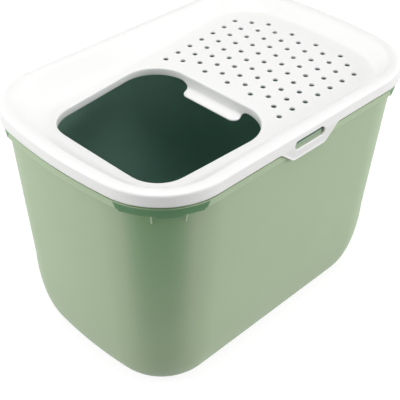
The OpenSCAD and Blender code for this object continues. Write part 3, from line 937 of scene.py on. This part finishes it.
for obj in (lid, lid_ledge):
    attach(obj, "lid")
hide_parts("lid")
# Heights, in metres, between which the skirt above a tab would bend; nothing below uses them.
BEND_Y, BEND_TOP, BEND_FOOT = 0.1935, 0.3890, 0.3800
for obj, node, y in ((front, "front_tab", -BEND_Y), (rear, "rear_tab", BEND_Y)):
    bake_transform(obj)
    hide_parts(node)
for obj in tub_pieces:
    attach(obj, "tub")
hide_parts("tub")

# ---- Studio ----------------------------------------------------------------

FLOOR_GLOW = 0.87         # what the floor shows by itself, where 1 is white
FLOOR_SHADE = 0.22        # what it shows by the lamps, which the object's shadow takes away
FLOOR_BOUNCE = 0.45       # what it throws back at the object
WORLD_LIGHT = 0.12


def grey(level):
    return (level, level, level, 1)


def seen_directly(nt):
    """1 for what the camera sees straight, in gloss or through glass."""
    path = nt.nodes.new("ShaderNodeLightPath")
    total = path.outputs["Is Camera Ray"]
    for name in ("Is Glossy Ray", "Is Transmission Ray"):
        total = math_node(nt, "MAXIMUM", total, path.outputs[name])
    return total


def background(nt, colour, strength):
    node = nt.nodes.new("ShaderNodeBackground")
    node.inputs["Color"].default_value = colour
    node.inputs["Strength"].default_value = strength
    return node.outputs["Background"]


def diffuse(nt, colour):
    node = nt.nodes.new("ShaderNodeBsdfDiffuse")
    node.inputs["Color"].default_value = colour
    return node.outputs["BSDF"]


def by_ray(nt, light, seen):
    """The shader seen where the camera looks, and the shader light for every other ray."""
    mix = nt.nodes.new("ShaderNodeMixShader")
    nt.links.new(seen_directly(nt), mix.inputs["Fac"])
    nt.links.new(light, mix.inputs[1])
    nt.links.new(seen, mix.inputs[2])
    return mix.outputs["Shader"]


def stage_material():
    """White paper: it shows white and keeps the shadow, and throws back less light than it shows."""
    mat = bpy.data.materials.new("floor_white")
    mat.use_nodes = True
    nt = mat.node_tree
    nt.nodes.clear()
    glow = nt.nodes.new("ShaderNodeEmission")
    glow.inputs["Color"].default_value = grey(1)
    glow.inputs["Strength"].default_value = FLOOR_GLOW
    both = nt.nodes.new("ShaderNodeAddShader")
    nt.links.new(diffuse(nt, grey(FLOOR_SHADE)), both.inputs[0])
    nt.links.new(glow.outputs["Emission"], both.inputs[1])
    out = nt.nodes.new("ShaderNodeOutputMaterial")
    nt.links.new(by_ray(nt, diffuse(nt, grey(FLOOR_BOUNCE)), both.outputs["Shader"]), out.inputs["Surface"])
    return mat


floor_data = bpy.data.meshes.new("floor")
floor_data.from_pydata([(-8, -8, 0), (8, -8, 0), (8, 8, 0), (-8, 8, 0)], [], [(0, 1, 2, 3)])
floor_data.materials.append(stage_material())
add_object("floor", floor_data)


def area_light(name, place, target, size, power):
    """A square lamp that faces target. Places and size are in metres, power in watts."""
    light = bpy.data.lights.new(name, "AREA")
    light.shape = "RECTANGLE"
    light.size = light.size_y = size
    light.energy = power
    obj = add_object(name, light)
    obj.location = place
    obj.rotation_euler = (Vector(target) - Vector(place)).to_track_quat("-Z", "Y").to_euler()


area_light("left", (-1.62, 1.06, 0.8), (0, 0, 0.2), 1.2, 22.5)
area_light("right", (2.4, -2.5, 1.1), (0, 0, 0.2), 1.9, 81)
area_light("top", (-0.17, -0.17, 2.5), (0, 0, 0.3), 1.8, 41)
area_light("fill", (-1.75, -1.75, 1.1), (0, 0, 0.3), 0.8, 6.5)

world = bpy.data.worlds.new("studio")
bpy.context.scene.world = world
world.use_nodes = True
wn = world.node_tree
wn.nodes.clear()
w_out = wn.nodes.new("ShaderNodeOutputWorld")
w_light = background(wn, (0.94, 0.95, 0.97, 1), WORLD_LIGHT)
wn.links.new(by_ray(wn, w_light, background(wn, grey(1), 1.0)), w_out.inputs["Surface"])

# ---- Camera, at the photograph's viewing angle ------------------------------

IMAGE_PX = 400            # width of the photograph
FOCAL_PX = 936.07         # focal length in its pixels
SENSOR_MM = 36.0
AZ, EL, ROLL = math.radians(-46.14), math.radians(37.33), math.radians(1.14)
AIM_MM = (-5.74, 6.06, 164.07)    # the point that the camera looks at
DISTANCE = 1.51059                # metres from there

backwards = Vector((math.sin(AZ) * math.cos(EL), -math.cos(AZ) * math.cos(EL), math.sin(EL)))
level = Vector((math.cos(AZ), math.sin(AZ), 0))
above = backwards.cross(level)
right = level * math.cos(ROLL) + above * math.sin(ROLL)
up = above * math.cos(ROLL) - level * math.sin(ROLL)
camera_data = bpy.data.cameras.new("camera")
camera_data.sensor_width = SENSOR_MM
camera_data.lens = SENSOR_MM * FOCAL_PX / IMAGE_PX
camera_data.clip_end = 50
camera = add_object("camera", camera_data)
camera_place = Vector(AIM_MM) * MM + backwards * DISTANCE
camera.matrix_world = Matrix.Translation(camera_place) @ Matrix((right, up, backwards)).transposed().to_4x4()
bpy.context.scene.camera = camera
bpy.context.scene.view_settings.view_transform = "Standard"
